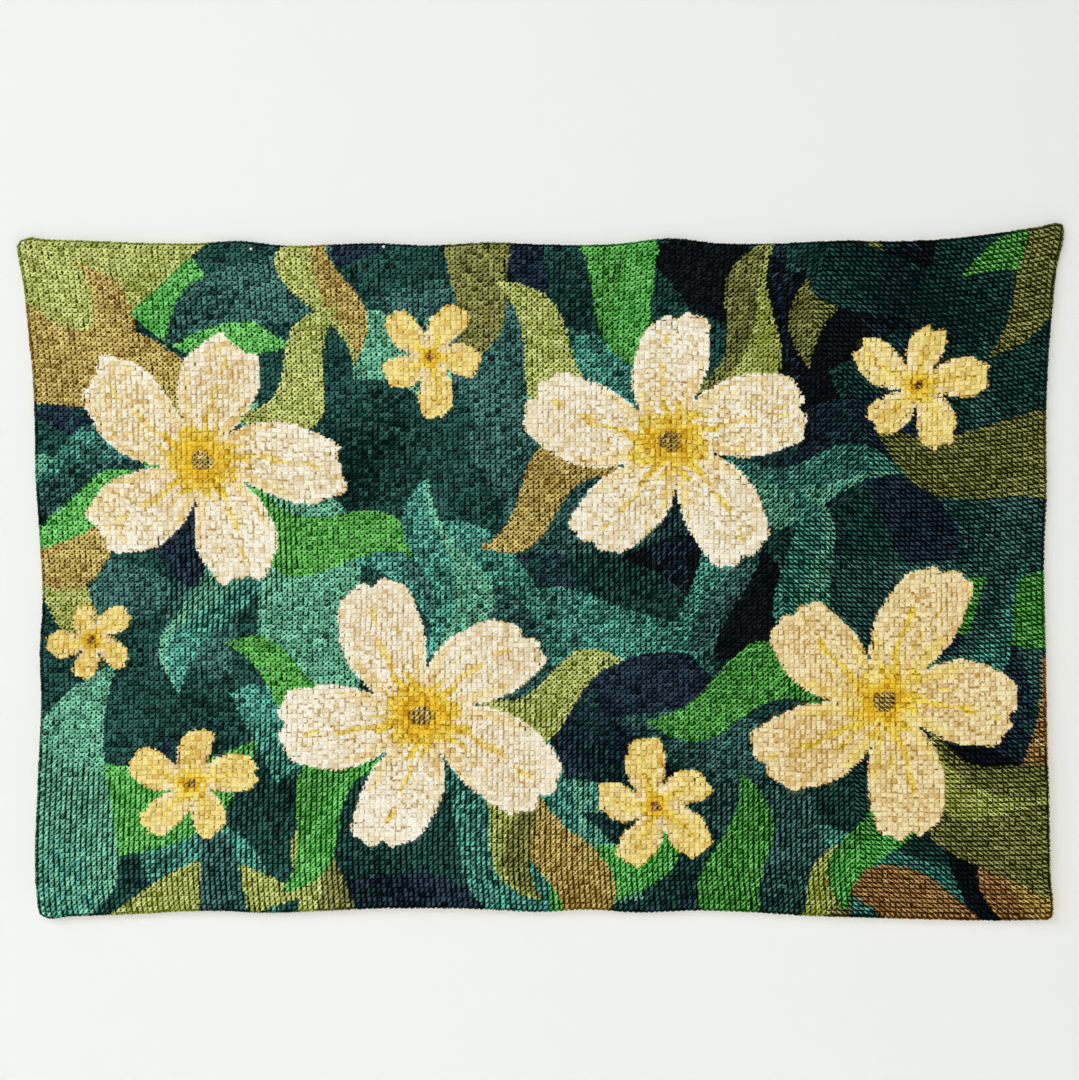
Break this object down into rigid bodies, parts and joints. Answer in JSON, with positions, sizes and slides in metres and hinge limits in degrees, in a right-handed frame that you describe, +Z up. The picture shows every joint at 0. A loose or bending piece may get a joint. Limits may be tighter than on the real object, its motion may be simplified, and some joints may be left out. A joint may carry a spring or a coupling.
{
  "type": "wall tapestry with hanging nails",
  "caption": "Hung wall tapestry worked in wool cross stitch, pale blossoms on a dark leafy ground, with a turned hem and small nails through its top edge.",
  "frame": {"origin": "middle of the cloth's top edge, on the wall plane behind it", "axes": "+Z up, -Y the way the worked face looks, +X to the right as seen from the front; the wall plane is y = 0"},
  "size_m": [1.0472, 0.0304, 0.6972],
  "materials": {
    "wool": "matt rug wool, worked in cross stitch through canvas",
    "nail": "small bright domed head"
  },
  "bodies": {
    "root": {"cloth": "wool", "nail_1": "nail", "nail_2": "nail", "nail_3": "nail"}
  },
  "joints": []
}
